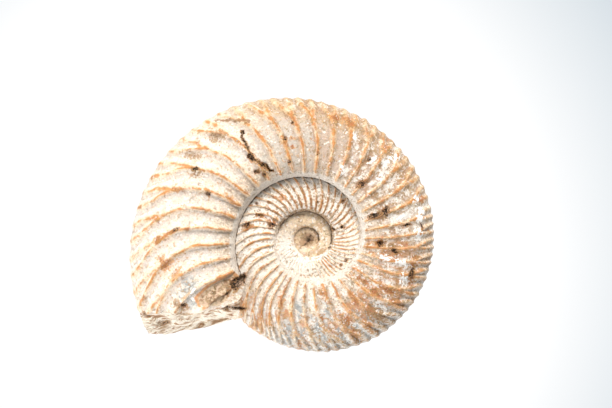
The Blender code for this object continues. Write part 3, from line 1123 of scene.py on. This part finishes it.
# %% [markdown]
# ## Age and grit
# The ribs of the second whorl have gone brown on one side. Dark and pale grit lie everywhere in weights
# too small to cover the stone, so the finish shows them as single specks. Last, all the fields are kept
# as attributes of the mesh.

# %% Fields of age and grit
AGED_SECTOR = (88.0, 55.0, 30.0)
AGED_WITHIN = (15.5, 13.5)
AGED_FROM_RIM = (0.42, 0.66)
AGED_CREST_GAIN = 1.6
DARK_GRIT, LILAC_DARK_GRIT, GRITTY_DARK_GRIT, AGED_DARK_GRIT = 0.04, 0.05, 0.08, 0.10
PALE_GRIT, SECOND_PALE_GRIT, GRITTY_PALE_GRIT = 0.02, 0.03, 0.05
GRIT_LOWEST, GRIT_HIGHEST = 0.4, 1.6
GRIT_SPAN = 1.2
LEFT_GRIT_LOSS = 0.8
CHAMBER_GRIT_LOSS = 0.8
CREST_COVER = 1.5

aged = second_only * (towards(*AGED_SECTOR) * ramp(*AGED_WITHIN, radius))[corner_vertex]
brown = aged * np.minimum(1.0, AGED_CREST_GAIN * fields["crest"])
fields["aged"] = brown * (1.0 - ramp(*AGED_FROM_RIM, s))
gritty = np.clip(right + lower_right, 0.0, 1.0)[corner_vertex]
fields["gritty"] = gritty * (on_top * last_whorl)[corner_vertex] * whole
dark = DARK_GRIT + LILAC_DARK_GRIT * seen["lilac"] + GRITTY_DARK_GRIT * gritty + AGED_DARK_GRIT * aged
fields["dark_grit"] = dark * (GRIT_LOWEST + GRIT_SPAN * clusters) * less(LEFT_GRIT_LOSS, at_left)
pale = PALE_GRIT + SECOND_PALE_GRIT * second + GRITTY_PALE_GRIT * gritty
pale = pale * (GRIT_HIGHEST - GRIT_SPAN * clusters)
off_crest = 1.0 - np.clip(CREST_COVER * fields["crest"], 0.0, 1.0)
fields["pale_grit"] = pale * less(CHAMBER_GRIT_LOSS, chambers) * off_crest
for name, values in fields.items():
    mesh.attributes.new(name, "FLOAT", "CORNER").data.foreach_set("value", values.astype(np.float32))
print("fields:", len(fields), "corners:", len(count))

# %% [markdown]
# ## Taking the solid's place
# The finished mesh rides on the imported body and stands in for its plain solid. Smooth shading hides
# the facets. Edges sharper than 60 degrees are left crisp, as at the rim of the broken face, where a bevel
# would cost thousands of faces.

# %% Place in the frame
SHARP_FROM = 60.0

mesh.shade_smooth()
mesh.set_sharp_from_angle(angle=math.radians(SHARP_FROM))
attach(fossil, "root")
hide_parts("ammonite")
print("box of the fossil, mm:", [round(side / MM, 1) for side in fossil.dimensions])

# %% [markdown]
# ## Building a finish from nodes
# One material covers the whole fossil, because one stone does: shell turned to calcite and limestone,
# dug out and washed. To the eye that is matt, grainy and a little chalky, with rust where iron came in.
# Colours are written as the usual hex codes and turned into the linear values that the renderer works
# in. One helper adds any kind of node, and one a mix of two colours. A mix node can mix other things
# too, so its sockets are called by number: 0 is the share, 6 and 7 are the colours, and 2 is the result.

# %% Node helpers
def linear(hex_code):
    """A colour such as "E8C9A0" as linear red, green, blue and alpha."""
    parts = [int(hex_code[i : i + 2], 16) / 255.0 for i in (0, 2, 4)]
    return tuple(c / 12.92 if c <= 0.04045 else ((c + 0.055) / 1.055) ** 2.4 for c in parts) + (1.0,)


def add(tree, kind, inputs, out=0, **settings):
    """Adds a node, sets it up, links or fills its inputs, and returns one of its output sockets."""
    node = tree.nodes.new("ShaderNode" + kind)
    for name, value in settings.items():
        setattr(node, name, value)
    for key, value in inputs.items():
        if isinstance(value, bpy.types.NodeSocket):
            tree.links.new(value, node.inputs[key])
        else:
            node.inputs[key].default_value = value
    return node.outputs[out]


def mix(tree, share, first, second):
    """Adds a mix of two colours, and returns the mixed colour."""
    return add(tree, "Mix", {0: share, 6: first, 7: second}, 2, data_type="RGBA")


material = bpy.data.materials.new("fossil_shell")
material.use_nodes = True
tree = material.node_tree
shader = tree.nodes["Principled BSDF"]
place = add(tree, "TexCoord", {}, "Object")
print("a mid grey in linear values:", linear("808080"))

# %% [markdown]
# ## Noise
# Stone shows detail at every size: blotches of a few millimetres, specks and grain. The streaks are noise
# bent by itself, as in stained stone. The crystals are cells of one random value each: they keep their
# contrast where noise would blur to grey.

# %% Noise
NOISES = {
    # name: size in mm, detail, distortion, how many times thinner upright
    "blotch": (1.8, 3.0, 0.0, 1.0),
    "streak": (2.6, 3.0, 1.5, 1.0),
    "bedding": (2.4, 3.0, 0.4, 4.0),
    "speck": (0.75, 2.0, 0.0, 1.0),
    "grain": (0.34, 1.0, 0.0, 1.0),
}
ALONG_RIBS = (1.1, 3.5, 1.0)
CRYSTAL_SIZE = 0.42

pattern = {}
for name, (size, detail, bend, thinner) in NOISES.items():
    stretched = add(tree, "Mapping", {"Vector": place, "Scale": (1.0, 1.0, thinner)})
    sockets = {"Vector": stretched, "Scale": 1.0 / (size * MM), "Detail": detail, "Distortion": bend}
    pattern[name] = add(tree, "TexNoise", sockets)
along_ribs = add(tree, "Mapping", {"Vector": add(tree, "UVMap", {}, uv_map="coil"), "Scale": ALONG_RIBS})
pattern["along"] = add(tree, "TexNoise", {"Vector": along_ribs, "Scale": 1.0, "Detail": 3.0})
cells = add(tree, "TexVoronoi", {"Vector": place, "Scale": 1.0 / (CRYSTAL_SIZE * MM)}, "Color")
pattern["crystal"] = add(tree, "SeparateColor", {0: cells}, 0)
print("patterns:", sorted(pattern))

# %% [markdown]
# ## Layers of colour
# Each layer lies where a field plus a share of a pattern passes an edge, softened over a short step. A
# large share frays the layer, a small one keeps its outline, and with a share below 0 the layer lies
# where the pattern is low, in the gaps that another leaves. The order is the order in which the stone
# got its colours: the ground, stains, the rust on the crests, then damage and what lies on top of
# everything. Painted light and shade sit among these layers: the near-white glare on the left, the
# darker rim, the shade in front of the ribs, the shadow in the seams and on the inner wall, and the
# near-black in the pits and at the centre. Painting would be quicker, but would need an image. Last,
# the brightness and the hue of single grains vary a little.

# %% Layers
GROUND_PALE = "F3E6D5"
GROUND_DEEP = "CCB8A3"
MOTTLE = (0.36, 0.64)
GRAIN_SPAN = (0.30, 0.70)
VALUE_SPREAD = (0.80, 1.14)
HUE_SPREAD = (0.490, 0.512)
SATURATION = 0.95
LAYERS = (
    # field, pattern, share, edge, soft, strength, colour
    ("lilac", "speck", 2.2, 0.80, 0.40, 0.85, "BEA898"),
    ("greyed", "blotch", 2.4, 0.80, 0.35, 0.75, "CFC9BF"),
    # painted light: the glare of the glowing table, near-white on the left
    ("left", "blotch", 2.0, 0.72, 0.40, 0.80, "F6EEE5"),
    ("left", "streak", 3.0, 1.02, 0.40, 0.40, "E5C5A3"),
    ("left_shade", "blotch", 2.0, 0.60, 0.45, 0.55, "C9BDB5"),
    ("bleached", "speck", 1.6, 0.60, 0.35, 0.70, "F3ECE2"),
    ("second", "blotch", 1.4, 0.80, 0.30, 0.95, "FDF8F0"),
    ("gritty", "blotch", -3.0, 1.04, 0.20, 0.85, "F8F1E8"),
    ("gritty", "blotch", 3.0, 1.10, 0.18, 0.75, "AE805A"),
    # rim: painted shade that darkens the rim away from the left, with brown mottling along the ribs
    ("rim", "blotch", 2.5, 0.54, 0.35, 0.80, "C7A883"),
    ("rim", "along", 3.0, 0.98, 0.25, 0.75, "A67D55"),
    ("rim", "blotch", -3.0, 1.15, 0.25, 0.70, "F3E9DC"),
    ("shade", "speck", 1.6, 0.50, 0.35, 0.50, "AC9481"),
    ("stained", "along", -3.2, 1.02, 0.22, 0.85, "F2EEE8"),
    ("stained", "along", 3.2, 1.04, 0.22, 0.80, "BF7C40"),
    ("clay", "blotch", 3.0, 0.48, 0.25, 0.85, "CCCDC9"),
    ("clay", "streak", 3.2, 0.66, 0.22, 0.75, "989E9F"),
    ("clay", "speck", 3.4, 1.02, 0.20, 0.80, "6E7678"),
    ("pale_rim", "blotch", 2.4, 0.55, 0.35, 0.75, "DFD8CE"),
    ("crest", "speck", 0.9, 0.30, 0.32, 0.55, "F1CE9F"),
    ("crest", "streak", 1.6, 0.76, 0.24, 0.95, "CC8743"),
    ("crest", "blotch", 3.0, 1.12, 0.26, 0.65, "A96A33"),
    ("crest_edge", "blotch", 3.0, 0.72, 0.30, 0.65, "A27650"),
    ("aged", "streak", 3.2, 0.72, 0.25, 0.80, "BC8654"),
    ("aged", "speck", 3.4, 1.05, 0.22, 0.80, "7E5835"),
    ("rust", "speck", 2.8, 0.50, 0.30, 0.80, "DBA063"),
    ("rust", "blotch", 3.2, 0.76, 0.26, 0.85, "B97334"),
    ("rust", "grain", 3.4, 0.92, 0.20, 0.75, "854F2C"),
    ("dirt", "speck", 2.8, 0.50, 0.26, 0.75, "B08B60"),
    ("dirt", "grain", 3.2, 0.85, 0.18, 0.80, "76573A"),
    ("wall", "blotch", 0.8, 0.45, 0.20, 0.90, "DFD8CE"),
    # inner_wall: tan band, mostly painted shadow on the side away from the lamp
    ("inner_wall", "speck", 1.8, 0.50, 0.40, 0.80, "BD9C74"),
    ("inner_wall", "grain", 3.0, 0.95, 0.20, 0.70, "7A5F43"),
    ("third", "speck", 1.6, 0.60, 0.40, 0.85, "EBD2AF"),
    ("third", "streak", 3.0, 1.10, 0.30, 0.70, "BC9469"),
    ("chambers", "blotch", 1.0, 0.50, 0.30, 0.90, "E0C6A3"),
    ("chambers", "speck", 2.6, 1.05, 0.25, 0.70, "A98460"),
    # centre: tan nucleus, and the deep middle painted near-black as shade
    ("core_tint_and_shade", "blotch", 0.6, 0.32, 0.36, 0.80, "AE8A68"),
    ("core_tint_and_shade", "blotch", 0.4, 0.80, 0.16, 0.90, "46362A"),
    ("dark_grit", "grain", 1.6, 0.42, 0.10, 0.60, "8B6A4B"),
    ("dark_grit", "crystal", 1.0, 0.50, 0.03, 0.60, "94734F"),
    ("pale_grit", "grain", -1.6, 0.42, 0.08, 0.70, "FFFBF3"),
    ("pale_grit", "crystal", -1.0, 0.48, 0.03, 0.60, "FFFBF3"),
    ("broken", "blotch", 0.5, 0.40, 0.20, 1.00, "FFF4E2"),
    ("broken", "bedding", 3.2, 1.06, 0.22, 0.65, "DDBD96"),
    ("broken", "bedding", 3.6, 1.26, 0.14, 0.80, "A26F42"),
    ("ledge", "streak", 2.4, 0.75, 0.30, 0.50, "B08A63"),
    ("window", "blotch", 1.2, 0.25, 0.12, 0.95, "CFB598"),
    ("window", "speck", 3.6, 1.02, 0.25, 0.80, "9E7B58"),
    ("window", "streak", 3.6, 1.22, 0.20, 0.80, "7C6243"),
    ("window_edge", "streak", 1.0, 0.45, 0.20, 0.90, "D8985F"),
    ("crust", "speck", 2.6, 0.60, 0.10, 1.00, "FFFDF9"),
    # pit: a rust-brown stain, and a near-black painted shadow in the deepest part
    ("pit", "speck", 1.4, 0.40, 0.18, 0.70, "A8743F"),
    ("pit", "grain", 2.4, 0.82, 0.14, 1.00, "2F2319"),
    ("stain", "speck", 1.2, 0.68, 0.14, 0.80, "94683E"),
    ("crack", "speck", 1.3, 0.54, 0.16, 0.80, "C08A50"),
    ("crack", "grain", 1.8, 0.78, 0.12, 1.00, "31271E"),
    # seam: dark line of dirt and painted shadow
    ("seam", "speck", 2.4, 0.62, 0.16, 0.90, "57422F"),
)

mottle_range = {"Value": pattern["speck"], "From Min": MOTTLE[0], "From Max": MOTTLE[1]}
mottle = add(tree, "MapRange", mottle_range, interpolation_type="SMOOTHSTEP")
colour = mix(tree, mottle, linear(GROUND_DEEP), linear(GROUND_PALE))
field = {name: add(tree, "Attribute", {}, "Fac", attribute_name=name) for name in fields}
for name, pattern_name, share, edge, soft, strength, tint in LAYERS:
    here = {0: pattern[pattern_name], 1: share, 2: field[name]}
    here = add(tree, "Math", here, operation="MULTIPLY_ADD")
    start = edge + 0.5 * share
    inputs = {"Value": here, "From Min": start - soft, "From Max": start + soft, "To Max": strength}
    mask = add(tree, "MapRange", inputs, interpolation_type="SMOOTHSTEP")
    colour = mix(tree, mask, colour, linear(tint))
value_range = (pattern["grain"], *GRAIN_SPAN, *VALUE_SPREAD)
value = add(tree, "MapRange", dict(enumerate(value_range)))
hue_range = {"Value": pattern["crystal"], "To Min": HUE_SPREAD[0], "To Max": HUE_SPREAD[1]}
hue = add(tree, "MapRange", hue_range)
shift = {"Hue": hue, "Saturation": SATURATION, "Value": value, "Color": colour}
colour = add(tree, "HueSaturation", shift)
tree.links.new(colour, shader.inputs["Base Color"])
print("layers:", len(LAYERS))

# %% [markdown]
# ## Relief and gloss
# The finest relief is a bump, since no mesh could hold it, and the gloss changes with the grain, as on
# any worn stone.

# %% Relief and gloss
BUMP_HEIGHT = 0.30 * MM
BUMP_STRENGTH = 0.9
CRYSTAL_RELIEF = 0.35
ROUGHNESS = (0.62, 0.90)
CHALKY_SHINE = 0.3

relief = {0: pattern["crystal"], 1: CRYSTAL_RELIEF, 2: pattern["speck"]}
height = add(tree, "Math", relief, operation="MULTIPLY_ADD")
bump = add(tree, "Bump", {"Height": height, "Distance": BUMP_HEIGHT, "Strength": BUMP_STRENGTH})
tree.links.new(bump, shader.inputs["Normal"])
gloss_range = (pattern["speck"], *GRAIN_SPAN, *ROUGHNESS)
gloss = add(tree, "MapRange", dict(enumerate(gloss_range)))
tree.links.new(gloss, shader.inputs["Roughness"])
shader.inputs["Specular IOR Level"].default_value = CHALKY_SHINE
mesh.materials.append(material)
print("nodes in the finish:", len(tree.nodes))

# %% [markdown]
# ## Light table
# Such fossils are often laid on a table of opal acrylic lit from below, which gives the eye an even
# white, drowns the shadow and bleaches the rim. A white sheet under strong lamps would do too, but keeps
# a shadow. The table is an emitting sheet, brightest under the fossil and dimmer far out.

# %% Floor
TABLE_WHITE = linear("FFFFFF")
TABLE_DIM = linear("CBD5DC")
TABLE_SIZE = 3.0
GLOW = 1.05
BRIGHT_SPOT = Vector((-18.0, -14.0, 0.0)) * MM
DIM_FROM = 78.0 * MM
DIM_UP_TO = 125.0 * MM

bm = bmesh.new()
bmesh.ops.create_grid(bm, x_segments=1, y_segments=1, size=0.5 * TABLE_SIZE)
floor_mesh = bpy.data.meshes.new("light_table")
bm.to_mesh(floor_mesh)
bm.free()
floor = bpy.data.objects.new("light_table", floor_mesh)
bpy.context.scene.collection.objects.link(floor)
glow = bpy.data.materials.new("lit_acrylic")
glow.use_nodes = True
tree = glow.node_tree
shader = tree.nodes["Principled BSDF"]
place = add(tree, "TexCoord", {}, "Object")
bright = (*(VIEW_CENTRE + BRIGHT_SPOT)[:2], 0.0)
far_out = add(tree, "VectorMath", {0: place, 1: bright}, "Value", operation="DISTANCE")
dim = add(tree, "MapRange", {"Value": far_out, "From Min": DIM_FROM, "From Max": DIM_UP_TO})
light = mix(tree, dim, TABLE_WHITE, TABLE_DIM)
tree.links.new(light, shader.inputs["Emission Color"])
shader.inputs["Emission Strength"].default_value = GLOW
shader.inputs["Base Color"].default_value = linear("000000")
shader.inputs["Specular IOR Level"].default_value = 0.0
floor_mesh.materials.append(glow)
print("the table dims from", round(DIM_FROM / MM), "to", round(DIM_UP_TO / MM), "mm out")

# %% [markdown]
# ## Lights
# A large soft lamp at the upper right draws the ribs, weaker ones fill in from the left and the front,
# and a white studio around lights the rest. One small hard lamp would draw the ribs better still, but
# would hide half of the umbilicus. Each lamp is given as its name, its place from the middle of the view
# and its size in metres, its watts and its tint.

# %% Lights
STUDIO_STRENGTH = 0.33
LIGHTS = (
    ("key", (0.12, 0.50, 0.42), 0.25, 5.6, "FFF9F2"),
    ("left_fill", (-0.52, 0.05, 0.24), 0.40, 2.2, "FFFFFF"),
    ("front_fill", (-0.25, -0.52, 0.16), 0.40, 2.8, "FFFFFF"),
)
for name, offset_m, size_m, watts, tint in LIGHTS:
    data = bpy.data.lights.new(name, "AREA")
    data.energy, data.size, data.color = watts, size_m, linear(tint)[:3]
    lamp = bpy.data.objects.new(name, data)
    lamp.location = VIEW_CENTRE + Vector(offset_m)
    lamp.rotation_euler = (VIEW_CENTRE - lamp.location).to_track_quat("-Z", "Y").to_euler()
    bpy.context.scene.collection.objects.link(lamp)
studio = bpy.data.worlds.new("studio")
studio.use_nodes = True
around = studio.node_tree.nodes["Background"]
around.inputs["Color"].default_value = linear("FFFFFF")
around.inputs["Strength"].default_value = STUDIO_STRENGTH
bpy.context.scene.world = studio
bpy.context.scene.view_settings.view_transform = "Standard"
print("lights:", [name for name, *_ in LIGHTS])
